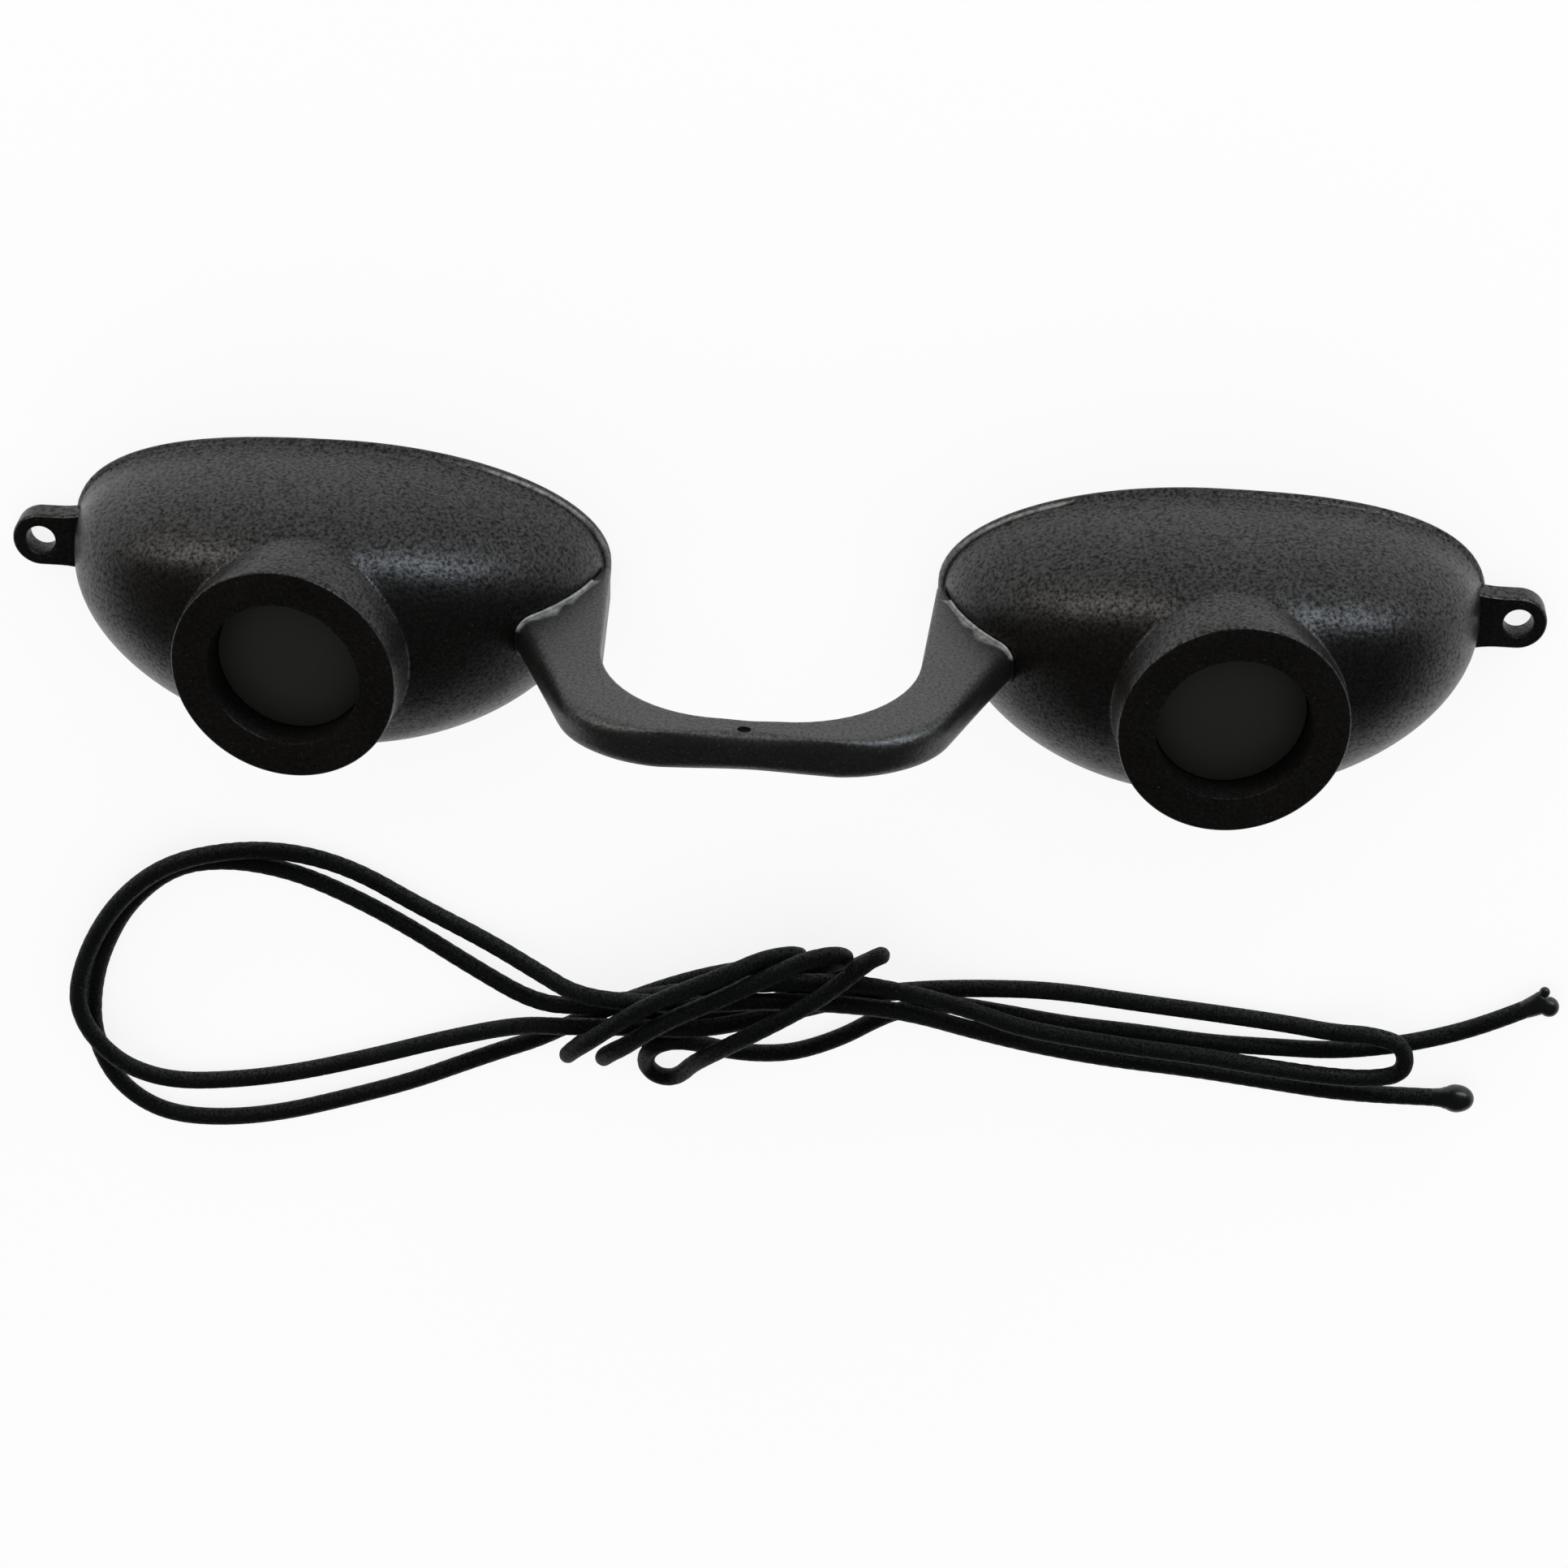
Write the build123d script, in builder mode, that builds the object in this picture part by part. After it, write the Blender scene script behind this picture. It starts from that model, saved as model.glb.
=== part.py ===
from build123d import *
import math
import os

os.makedirs("parts", exist_ok=True)

# Tanning goggles lying on their rims, with the spare cord hanked beside them.
# Millimetres. X runs from eye to eye, +Y towards the brow, +Z out of the face.
# The origin is on the rim plane, midway between the eyes.

# Eyecup shell: a dome with its own reach towards nose, temple, brow and cheek
cup_centre_x = 32.5
cup_half_length = 19.8
cup_rise = 8.4
cup_drop = 13.4
cup_depth = 16.5
cup_wall = 1.2
lip_width = 0.45
lip_height = 0.55
lip_slope_height = 0.45
# Exponents of the outline's four quarters, and of the way each side falls in with height
outline_shares = {
    ("temple", "brow"): 2.7,
    ("nose", "brow"): 2.0,
    ("nose", "cheek"): 2.2,
    ("temple", "cheek"): 1.8,
}
fall_shares = {"nose": 1.85, "temple": 2.4, "brow": 3.1, "cheek": 2.3}
# Heights of the sections as shares of the dome's depth: the dome's own end inside the barrel,
# and the hollow's end in a flat roof that carries the lens ledge
dome_level_shares = (0, 0.18, 0.36, 0.54, 0.70, 0.83, 0.93)
hollow_level_shares = (0, 0.18, 0.36, 0.54, 0.70, 0.83)
quarter_turn_shares = (0, 0.25, 0.5, 0.75, 1)

# Lens barrel standing on the dome, toed out towards the temple
barrel_front_x = 34.0
barrel_front_height = 18.0
barrel_drop = 1.3
barrel_toe_degrees = 6.5
barrel_radius = 8.3
barrel_length = 10.5
barrel_edge = 0.25
sight_radius = 4.8

# Filter lens lying on the ledge inside the barrel
lens_radius = 5.55
lens_clearance = 0.05
lens_thickness = 1.2
lens_recess = 2.5

# Eyelet tab at the temple corner, for the cord
tab_thickness = 2.0
tab_half_height = 2.1
tab_hole_radius = 1.1
tab_hole_x = 55.15
tab_edge = 0.3

# Nose bridge: a flexible U strap standing on edge between the cups
bridge_front_y = 1.5
bridge_width = 3.0
bridge_foot_height = 1.3
bridge_foot_x = 12.3
bridge_inner_corner_x = 11.2
bridge_underside = 20.85
bridge_inner_radius = 8.5
bridge_outer_foot_x = 21.0
bridge_outer_corner_x = 12.4
bridge_depth = 4.45
bridge_outer_radius = 12.0
bridge_outer_round = 1.1
bridge_inner_round = 0.4
bridge_seat_gap = 0.1
gate_mark_x = -0.3
gate_mark_height = 22.7
gate_mark_radius = 0.4
gate_mark_depth = 0.25

# Cord: one braided length, hanked and knotted, with a melted bead on one end and a flare on the other
cord_radius = 0.65
cord_sides = 8
bead_radius = 1.2
bead_reach = 0.9
flare_radius = 1.0
flare_length = 1.5
flare_round = 0.35
corner_share = 0.45
sample_step = 0.3
own_stretch = 4.4

# How near counts as touching, where an edge is chosen by its place,
# where along it the place is taken, and the lean that makes it a crossways edge
touch = 0.01
middle_share = 0.5
crossways_share = 0.5

level_y = (cup_drop - cup_rise) / 2
bridge_crown = bridge_underside + bridge_depth
half_sizes = {
    "temple": cup_half_length,
    "nose": cup_half_length,
    "brow": cup_rise,
    "cheek": cup_drop,
}
side_ways = {
    "temple": Vector(1, 0),
    "brow": Vector(0, 1),
    "nose": Vector(-1, 0),
    "cheek": Vector(0, -1),
}


def half_size(side, grow, level_share):
    """The dome's reach on one side, grown by an amount, at a share of its depth."""
    power = fall_shares[side]
    return (half_sizes[side] + grow) * (1 - level_share**power) ** (1 / power)


def quarter_curve(side_from, side_to, grow, level_share):
    """One quarter of the outline, a superellipse from one side's furthest point to the next's."""
    pair = (side_from, side_to) if (side_from, side_to) in outline_shares else (side_to, side_from)
    power = outline_shares[pair]
    way_from = side_ways[side_from]
    way_to = side_ways[side_to]
    points = []
    for share in quarter_turn_shares:
        angle = share * math.pi / 2
        reach_from = half_size(side_from, grow, level_share) * math.cos(angle) ** (2 / power)
        reach_to = half_size(side_to, grow, level_share) * math.sin(angle) ** (2 / power)
        points.append(way_from * reach_from + way_to * reach_to)
    return Spline(points, tangents=(way_to, -way_from))


def outline_face(grow, level_share, height):
    """The right cup's outline at one height, its four quarters kept as four edges for the lofts."""
    curves = [
        quarter_curve("temple", "brow", grow, level_share),
        quarter_curve("brow", "nose", grow, level_share),
        quarter_curve("nose", "cheek", grow, level_share),
        quarter_curve("cheek", "temple", grow, level_share),
    ]
    return Plane(origin=(cup_centre_x, level_y, height)).location * Face(Wire(curves))


def dome_faces(grow, level_shares):
    """The right dome's sections from the rim up, grown by an amount on every side."""
    depth = cup_depth + grow
    return [outline_face(grow, share, depth * share) for share in level_shares]


# Right cup
barrel_toe = math.radians(barrel_toe_degrees)
barrel_plane = Plane(
    origin=(barrel_front_x, level_y - barrel_drop, barrel_front_height),
    z_dir=(math.sin(barrel_toe), 0, math.cos(barrel_toe)),
)
seat_depth = lens_recess + lens_thickness
tab_root_x = cup_centre_x + cup_half_length - cup_wall
dome_sections = dome_faces(0, dome_level_shares)
hollow_sections = dome_faces(-cup_wall, hollow_level_shares)
lip_sections = [
    outline_face(lip_width, 0, 0),
    outline_face(lip_width, 0, lip_height),
    outline_face(-lip_width, 0, lip_height + 2 * lip_slope_height),
]

with BuildPart() as right_cup:
    loft(sections=dome_sections)
    with BuildSketch(barrel_plane):
        Circle(barrel_radius)
    extrude(amount=-barrel_length)
    loft(sections=lip_sections, ruled=True)
    with BuildSketch() as tab_outline:
        with Locations(((tab_root_x + tab_hole_x) / 2, level_y)):
            SlotCenterToCenter(tab_hole_x - tab_root_x, 2 * tab_half_height)
    extrude(amount=tab_thickness)
    loft(sections=hollow_sections, mode=Mode.SUBTRACT)
    with Locations(barrel_plane):
        CounterBoreHole(
            radius=sight_radius,
            counter_bore_radius=lens_radius + lens_clearance,
            counter_bore_depth=seat_depth,
        )
    with Locations((tab_hole_x, level_y, tab_thickness)):
        Hole(radius=tab_hole_radius)
    barrel_rim = right_cup.edges().filter_by(GeomType.CIRCLE)
    barrel_rim = barrel_rim.filter_by(lambda edge: abs(edge.radius - barrel_radius) < touch)
    chamfer(barrel_rim.sort_by(Axis.Z)[-1], length=barrel_edge)
    tab_rim = right_cup.edges().filter_by(GeomType.CIRCLE)
    tab_rim = tab_rim.filter_by(lambda edge: abs(edge.radius - tab_half_height) < touch)
    chamfer(tab_rim.sort_by(Axis.Z)[-1], length=tab_edge)

with BuildPart() as left_cup:
    mirror(right_cup.part, about=Plane.YZ)

# Lenses, face to face with the ledges
with BuildPart() as right_lens:
    with BuildSketch(barrel_plane.offset(-seat_depth)):
        Circle(lens_radius)
    extrude(amount=lens_thickness)

with BuildPart() as left_lens:
    mirror(right_lens.part, about=Plane.YZ)

# Nose bridge, trimmed so that each arm hugs its cup down to the lip
seat_sections = dome_faces(bridge_seat_gap, dome_level_shares)
with BuildPart() as cup_space:
    loft(sections=seat_sections)
    mirror(about=Plane.YZ)


def edges_along(line, part):
    """The strap's edges that follow a line drawn on its face."""
    chosen = []
    for edge in part.edges():
        middle = edge @ middle_share
        crossways = abs((edge % middle_share).Y) > crossways_share
        if not crossways and line.distance_to(Vector(middle.X, middle.Z)) < touch:
            chosen.append(edge)
    return chosen


with BuildPart() as nose_bridge:
    with BuildSketch(Plane.XZ.offset(-bridge_front_y)):
        with BuildLine():
            inner_line = FilletPolyline(
                (-bridge_foot_x, bridge_foot_height),
                (-bridge_inner_corner_x, bridge_underside),
                (bridge_inner_corner_x, bridge_underside),
                (bridge_foot_x, bridge_foot_height),
                radius=bridge_inner_radius,
            )
            outer_line = FilletPolyline(
                (-bridge_outer_foot_x, bridge_foot_height),
                (-bridge_outer_corner_x, bridge_crown),
                (bridge_outer_corner_x, bridge_crown),
                (bridge_outer_foot_x, bridge_foot_height),
                radius=bridge_outer_radius,
            )
            Line(inner_line @ 0, outer_line @ 0)
            Line(inner_line @ 1, outer_line @ 1)
        make_face()
    extrude(amount=bridge_width)
    fillet(edges_along(outer_line, nose_bridge.part), radius=bridge_outer_round)
    fillet(edges_along(inner_line, nose_bridge.part), radius=bridge_inner_round)
    add(cup_space.part, mode=Mode.SUBTRACT)
    with BuildSketch(Plane.XZ.offset(-bridge_front_y)):
        with Locations((gate_mark_x, gate_mark_height)):
            Circle(gate_mark_radius)
    extrude(amount=gate_mark_depth, mode=Mode.SUBTRACT)

# Cord route: the beaded tail, the hank, the flared tail, each starting where the last one ends
beaded_tail_points = [
    (54.3, -41.2, 1.1), (51.8, -41.4, 0.8), (48.9, -41.5, 0.65), (45.6, -41.3, 0.65),
    (42.35, -40.85, 0.65),
]
hank_points = [
    (42.35, -40.85, 0.65),
    # over the last run and into the knot
    (39.1, -40.4, 0.65), (33.9, -39.8, 0.65), (28.0, -39.4, 0.65), (22.2, -38.6, 0.65),
    (17.2, -36.5, 2.2), (12.1, -34.2, 3.6), (7.3, -33.7, 4.15), (0.9, -34.6, 4.15),
    (-4.8, -34.9, 4.1), (-10.0, -34.6, 4.15), (-14.5, -34.5, 3.6), (-17.8, -33.6, 1.9),
    # outer loop on the left
    (-22.0, -31.8, 0.65), (-27.1, -28.2, 0.65), (-32.2, -25.6, 0.65), (-37.0, -24.5, 0.65),
    (-41.8, -24.7, 0.65), (-46.8, -26.2, 0.65), (-50.8, -29.2, 0.65), (-53.9, -33.4, 0.65),
    (-55.2, -38.1, 0.9), (-54.7, -40.9, 2.3), (-53.5, -44.0, 2.6), (-51.4, -46.3, 1.8),
    (-47.9, -47.5, 0.65), (-42.8, -47.1, 0.65), (-37.5, -45.7, 0.65), (-31.4, -43.5, 0.65),
    (-25.4, -41.5, 0.65), (-19.4, -39.0, 1.6), (-15.7, -38.3, 2.5), (-10.1, -37.5, 2.4),
    (-5.2, -37.0, 2.4), (0.7, -35.8, 2.4), (7.5, -33.7, 2.4), (12.3, -33.4, 1.4),
    # through the knot and out to the fold on the right
    (17.4, -33.4, 0.65), (23.1, -33.2, 0.65), (29.5, -33.5, 0.65), (36.0, -34.0, 0.65),
    (41.8, -34.7, 0.65), (45.2, -34.5, 1.5), (48.0, -34.4, 2.4), (50.7, -35.2, 2.4),
    (51.0, -37.8, 2.4), (48.5, -38.6, 2.4), (44.9, -38.6, 2.4), (40.1, -38.1, 2.4),
    (34.9, -37.4, 2.4), (29.8, -37.0, 2.4), (24.6, -36.4, 2.4), (20.1, -35.5, 2.7),
    (16.2, -33.5, 3.5), (11.6, -32.2, 3.5), (7.1, -31.2, 4.15), (1.5, -32.4, 3.4),
    (-4.4, -34.2, 2.4), (-9.6, -35.2, 2.4), (-14.6, -36.4, 2.4), (-18.2, -36.7, 1.6),
    # inner loop on the left
    (-22.8, -34.6, 0.65), (-29.0, -30.6, 0.65), (-34.2, -27.9, 0.65), (-38.2, -26.7, 0.65),
    (-42.6, -26.8, 0.65), (-46.2, -28.3, 0.65), (-49.6, -31.3, 0.65), (-52.1, -35.0, 0.65),
    (-53.2, -38.9, 0.65), (-53.8, -42.7, 0.65), (-53.1, -46.7, 0.65), (-51.0, -49.3, 0.65),
    (-48.0, -50.6, 0.65), (-43.7, -50.9, 0.65), (-38.9, -49.8, 0.65), (-33.5, -48.0, 0.65),
    (-28.2, -46.1, 0.65), (-23.8, -43.6, 0.65), (-20.7, -42.1, 0.65), (-18.0, -40.9, 0.65),
    # first wrap of the knot
    (-15.2, -39.15, 0.65), (-12.3, -37.5, 0.65), (-9.5, -36.0, 0.65), (-6.7, -34.7, 0.65),
    (-3.9, -33.65, 0.65), (-1.5, -32.95, 0.65), (0.5, -32.0, 0.75), (1.6, -31.0, 1.7),
    (1.6, -29.8, 3.2), (0.3, -29.0, 4.0), (-2.0, -29.1, 4.75), (-4.4, -30.1, 5.8),
    (-6.8, -31.8, 5.9), (-9.4, -33.6, 5.9), (-11.7, -35.6, 5.8), (-13.4, -37.7, 5.3),
    (-14.7, -39.3, 4.3), (-15.4, -40.7, 3.1), (-15.1, -41.15, 1.6),
    # second wrap
    (-14.0, -40.6, 0.65), (-12.1, -39.45, 0.65), (-9.7, -38.1, 0.65), (-6.9, -36.8, 0.65),
    (-4.1, -35.8, 0.65), (-1.3, -34.9, 0.65), (1.3, -33.9, 0.65), (3.4, -32.6, 0.8),
    (4.8, -31.0, 2.0), (5.3, -28.9, 4.3), (4.1, -27.6, 5.8), (1.9, -28.2, 5.95),
    (0.1, -29.45, 5.95), (-2.4, -31.35, 5.9), (-4.9, -33.1, 5.9), (-7.2, -34.5, 5.9),
    (-9.0, -36.3, 5.8), (-10.5, -38.0, 5.2), (-11.8, -39.4, 4.3), (-12.5, -40.75, 3.1),
    (-12.3, -41.3, 1.6),
    # third wrap
    (-11.1, -41.15, 0.65), (-9.2, -39.9, 0.65), (-6.7, -38.75, 0.65), (-4.0, -37.6, 0.65),
    (-1.2, -36.9, 0.65), (1.5, -35.7, 0.65), (4.1, -34.3, 0.65), (6.3, -32.8, 0.8),
    (8.0, -31.0, 1.6), (9.5, -29.5, 2.9), (9.9, -28.2, 4.6), (8.6, -27.7, 5.8),
    (6.4, -29.1, 5.95), (3.9, -31.1, 5.9), (1.6, -33.1, 5.9), (-0.8, -35.1, 5.9),
    (-2.8, -37.5, 5.2), (-4.5, -39.2, 4.3), (-5.6, -41.5, 2.6), (-6.75, -43.95, 1.05),
    # round loop under the knot and back to the right
    (-8.3, -44.3, 0.65), (-9.45, -43.1, 0.65), (-9.25, -41.55, 1.85), (-8.3, -39.5, 2.6),
    (-6.3, -39.0, 2.45), (-4.4, -40.0, 1.35), (-2.4, -40.7, 0.9), (-0.1, -41.0, 0.65),
    (2.4, -40.7, 0.65), (4.7, -39.8, 0.65), (6.9, -38.6, 0.65), (8.8, -37.2, 0.65),
    (10.8, -36.3, 0.65), (14.2, -35.4, 0.65), (19.0, -35.6, 0.65), (24.4, -36.4, 0.65),
    (29.8, -36.7, 0.65), (35.6, -37.3, 0.65), (40.5, -37.3, 0.65),
]
flared_tail_points = [
    (40.5, -37.3, 0.65), (45.4, -37.3, 0.65), (50.3, -36.4, 0.65), (54.6, -35.0, 0.65),
    (58.2, -33.2, 0.75), (60.8, -31.5, 0.95),
]


def corner_radii(points):
    """Each corner's arc, as large as its two runs allow."""
    radii = []
    for before, corner, after in zip(points, points[1:], points[2:]):
        run_in = Vector(corner) - Vector(before)
        run_out = Vector(after) - Vector(corner)
        turn = math.radians(run_in.get_angle(run_out))
        radii.append(corner_share * min(run_in.length, run_out.length) / math.tan(turn / 2))
    return radii


def report_tube(name, points, tube, path):
    """Print a tube's tightest arc, its length, and its volume beside section times length."""
    radii = corner_radii(points)
    print(name, "radii", [round(radius, 1) for radius in radii])
    print(name, "least radius", round(min(radii), 2), "of", len(radii))
    section = cord_sides / 2 * cord_radius**2 * math.sin(2 * math.pi / cord_sides)
    print(name, "length", round(path.length, 1))
    print(name, "volume", round(tube.volume, 2), "section x length", round(section * path.length, 2))


def least_gap(path):
    """The least clear gap from the tube to itself, measured on points along its middle."""
    points = []
    arc = 0
    for edge in path.edges():
        count = max(1, math.ceil(edge.length / sample_step))
        for step in range(count):
            points.append((arc + edge.length * step / count, tuple(edge @ (step / count))))
        arc += edge.length
    nearest = math.inf
    for index, (arc_here, here) in enumerate(points):
        for arc_there, there in points[index + 1:]:
            if arc_there - arc_here > own_stretch:
                nearest = min(nearest, math.dist(here, there))
    return nearest - 2 * cord_radius


with BuildPart() as beaded_tail:
    with BuildLine() as beaded_route:
        FilletPolyline(*beaded_tail_points, radius=corner_radii(beaded_tail_points))
    with BuildSketch(Plane(origin=beaded_route.line @ 0, z_dir=beaded_route.line % 0)):
        RegularPolygon(cord_radius, cord_sides)
    sweep()

with BuildPart() as cord_hank:
    with BuildLine() as hank_route:
        FilletPolyline(*hank_points, radius=corner_radii(hank_points))
    with BuildSketch(Plane(origin=hank_route.line @ 0, z_dir=hank_route.line % 0)):
        RegularPolygon(cord_radius, cord_sides)
    sweep()

with BuildPart() as flared_tail:
    with BuildLine() as flared_route:
        FilletPolyline(*flared_tail_points, radius=corner_radii(flared_tail_points))
    with BuildSketch(Plane(origin=flared_route.line @ 0, z_dir=flared_route.line % 0)):
        RegularPolygon(cord_radius, cord_sides)
    sweep()

report_tube("beaded tail", beaded_tail_points, beaded_tail.part, beaded_route.wire())
report_tube("hank", hank_points, cord_hank.part, hank_route.wire())
report_tube("flared tail", flared_tail_points, flared_tail.part, flared_route.wire())
print("hank least gap to itself", round(least_gap(hank_route.wire()), 3))

# Melted bead, cut flat where the cord enters it
bead_plane = Plane(origin=beaded_route.line @ 0, z_dir=-(beaded_route.line % 0))
with BuildPart(bead_plane) as bead_end:
    with Locations((0, 0, bead_reach)):
        Sphere(bead_radius)
    split(bisect_by=bead_plane, keep=Keep.TOP)

# Melted flare, widening from the cord to a rounded end
flare_plane = Plane(origin=flared_route.line @ 1, z_dir=flared_route.line % 1)
with BuildPart() as flared_end:
    with BuildSketch(flare_plane):
        Circle(cord_radius)
    with BuildSketch(flare_plane.offset(flare_length)):
        Circle(flare_radius)
    loft()
    fillet(flared_end.faces().sort_by(Axis.X)[-1].edges(), radius=flare_round)

# One file for each piece
pieces = {
    "left_cup": left_cup,
    "right_cup": right_cup,
    "nose_bridge": nose_bridge,
    "left_lens": left_lens,
    "right_lens": right_lens,
    "cord_hank": cord_hank,
    "cord_beaded_tail": beaded_tail,
    "cord_flared_tail": flared_tail,
    "cord_bead_end": bead_end,
    "cord_flared_end": flared_end,
}
for name, piece in pieces.items():
    piece.part.label = name
    export_step(piece.part, f"parts/{name}.step")
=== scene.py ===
import math

import bmesh
import bpy
import numpy as np
from mathutils import Matrix, Vector, noise


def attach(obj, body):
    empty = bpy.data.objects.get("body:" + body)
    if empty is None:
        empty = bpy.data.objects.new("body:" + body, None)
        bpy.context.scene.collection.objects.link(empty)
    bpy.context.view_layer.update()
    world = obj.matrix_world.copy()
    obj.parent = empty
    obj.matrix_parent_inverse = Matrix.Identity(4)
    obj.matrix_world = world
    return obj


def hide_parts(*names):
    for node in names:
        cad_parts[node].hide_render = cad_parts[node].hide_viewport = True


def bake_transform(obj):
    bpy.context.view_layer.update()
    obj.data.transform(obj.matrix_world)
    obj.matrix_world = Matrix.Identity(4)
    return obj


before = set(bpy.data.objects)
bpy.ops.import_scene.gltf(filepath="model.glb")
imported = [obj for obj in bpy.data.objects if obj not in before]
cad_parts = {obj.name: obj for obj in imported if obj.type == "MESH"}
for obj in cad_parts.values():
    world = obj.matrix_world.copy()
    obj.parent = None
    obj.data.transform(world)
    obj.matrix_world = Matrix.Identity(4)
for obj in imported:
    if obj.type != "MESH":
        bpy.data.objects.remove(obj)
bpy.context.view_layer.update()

# Tanning goggles lying on a pale table with their cord. Shapes are drawn in millimetres.
MM = 0.001
WELD = 1e-5
TINY = 1e-9
SMOOTH_BELOW = 35

# Eyecup: how far its dome reaches to each side, how each side falls in with height,
# and how square the outline's quarters are
CUP_X = 32.5
CUP_Y = 2.5
CUP_DEPTH = 16.5
WALL = 1.2
REACH = {"temple": 19.8, "nose": 19.8, "brow": 8.4, "cheek": 13.4}
FALL = {"temple": 2.4, "nose": 1.85, "brow": 3.1, "cheek": 2.3}
SIDES = ("temple", "brow", "nose", "cheek")
ROUNDNESS = (2.7, 2.0, 2.2, 1.8)
RING = 144
OUTLINE_STEPS = 400
SHORT_OF_NEXT = 0.99999
DOME_RINGS = 26
DOME_FOOT = 2.3
ROOF_SHARE = 0.83
ROOF_RINGS = 8

# Rim lip: height, how far it stands in from its full width, and the same at the nose
LIP_WIDTH = 0.45
LIP_PROFILE = (
    (0.0, 0.12, 0.12), (0.04, 0.02, 0.02), (0.12, 0.0, 0.0), (0.30, 0.0, 0.0),
    (0.42, 0.05, 0.0), (0.60, 0.14, 0.04), (0.72, 0.22, 0.15), (0.80, 0.27, 0.40),
    (1.1, 0.31, 0.45), (1.6, 0.39, 0.45),
)
NOSE_TURN = 2
NOSE_SPREAD = 0.5
# Painted highlight along the lip near the nose: its first turn, how far it runs, its steps, how far
# in, how high, and how near it reaches
LIP_HIGHLIGHT_START = 1.35
LIP_HIGHLIGHT_SPAN = 1.1
LIP_HIGHLIGHT_STEPS = 40
LIP_HIGHLIGHT_INSET = 0.1
LIP_HIGHLIGHT_HEIGHT = 0.68
LIP_HIGHLIGHT_REACH = 0.11

# Lens barrel on the cup. Its edges are pairs: how far in from the barrel's side or out from
# the seat's wall, and how far behind the front.
BARREL_FRONT = Vector((34.0, 1.2, 18.0))
BARREL_TOE = math.radians(6.5)
BARREL_RADIUS = 8.3
BARREL_REACH = 16.0
BARREL_EDGE = ((0.0, 0.22), (0.02, 0.12), (0.08, 0.04), (0.18, 0.0), (0.9, 0.0))
ROOT_FILLET = 0.22
SEAT_RADIUS = 5.6
SEAT_EDGE = ((0.9, 0.0), (0.16, 0.0), (0.05, 0.05), (0.0, 0.16))
SIGHT_RADIUS = 4.8
RECESS = 2.5

# Lens: its front edge is pairs too, in from its side and behind its front
LENS_RADIUS = 5.55
LENS_THICKNESS = 1.2
LENS_BACK_EDGE = 0.1
LENS_FRONT_EDGE = ((0.0, 0.12), (0.04, 0.04), (0.12, 0.0))
LENS_FACE_RINGS = (0.6, 2.6)

# Cord tab
TAB_HOLE_X = 55.15
TAB_HALF = 2.1
TAB_THICKNESS = 2.0
TAB_HOLE = 1.1
TAB_EDGE = 0.3
TAB_SIDES = 64
TAB_SINK = 0.9
TAB_FLARE = 0.9
TAB_FLARE_START = 0.35

# Nose bridge: the foot, the corner and its radius, for the nose side and for the outer side
BRIDGE_HALF = 1.5
BRIDGE_Y = 1.1
BRIDGE_FOOT = 1.3
NOSE_LINE = (Vector((12.2, BRIDGE_FOOT)), Vector((11.05, 22.6)), 9.8)
OUTER_LINE = (Vector((21.9, BRIDGE_FOOT)), Vector((12.0, 25.3)), 7.5)
NOSE_ROUND = 0.4
OUTER_ROUND = 1.1
ROUND_STEPS = 6
FACE_STEPS = 8
ARM_STEPS = 12
ELBOW_STEPS = 14
CUP_ROOM = 0.1
CUP_ROOM_SHARES = (
    0, 0.08, 0.16, 0.24, 0.32, 0.4, 0.48, 0.55, 0.62, 0.68, 0.74, 0.8, 0.85, 0.9, 0.94, 0.97, 0.99,
)
GATE_MARK_X = -0.35
GATE_MARK_HEIGHT = 24.1
GATE_MARK_RADIUS = 0.5
GATE_MARK_DEPTH = 0.3
GATE_MARK_SQUASH = 0.8

# Seam bead along the bridge's feet
SEAM_GROW = 0.06
SEAM_LIFT = 0.14
SEAM_RADIUS = 0.16
SEAM_SIDES = 10
# Painted highlight on the bead's brow side: how near the bead it reaches, and from where towards
# the brow it starts
SEAM_HIGHLIGHT_REACH = SEAM_RADIUS * 1.15
SEAM_HIGHLIGHT_FROM = BRIDGE_Y + 0.9

# Cord
CORD_RADIUS = 0.71
CORD_SIDES = 28
CORD_STEP = 0.215
BRAID_PITCH = 4.4
BRAID_STRANDS = 4
BRAID_RELIEF = 0.055
BRAID_ROUNDNESS = 0.7
BRAID_DIP = 0.3

# Melted ends: how far along the cord's line, radius, and width across as a share of the radius
MELTED_SIDES = 40
BEAD_NECK = ((-1.0, 0.66, 1), (-0.7, 0.73, 1), (-0.4, 0.75, 1), (-0.15, 0.79, 1), (0.05, 0.87, 1))
BEAD_MIDDLE = 1.05
BEAD_HALF_LENGTH = 1.38
BEAD_RADIUS = 1.12
BEAD_TURN = (0.3, 0.69)
BEAD_STEPS = 13
BEAD_WOBBLE = 0.05
FLARE_PROFILE = (
    (-1.3, 0.66, 1), (-0.9, 0.73, 1.0), (-0.4, 0.74, 1.1), (0.0, 0.74, 1.22),
    (0.35, 0.72, 1.36), (0.65, 0.66, 1.42), (0.85, 0.5, 1.4), (0.95, 0.2, 1.2),
)
FLARE_LOBES = ((0.95, -0.80, 0.42), (0.62, 0.60, 0.80))
FLARE_WOBBLE = 0.12
WOBBLE_SCALE = 0.9

# Plastics: how far roughness strays, the grain heights that gloss rises between, and the
# bump's height in metres
GLOSS_SPREAD = (-0.06, 0.08)
GLINT_BETWEEN = (0.35, 0.65)
BUMP_HEIGHT = 0.00004

# Table and studio. In reflections the studio dims with height: each pair is how far up a
# direction points, and the light there.
TABLE_HALF = 3000
TABLE_DROP = 0.02
TABLE_SHADE = 0.94
TABLE_GLOW = 0.86
STUDIO_FILL = 0.86
STUDIO_EDGE = (-0.05, 0.35)
STUDIO_TOP = (0.40, 0.02)
LAMP_AIM = (0, 0, 0.01)
LAMP_SIZE = (0.5, 0.10)

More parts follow.
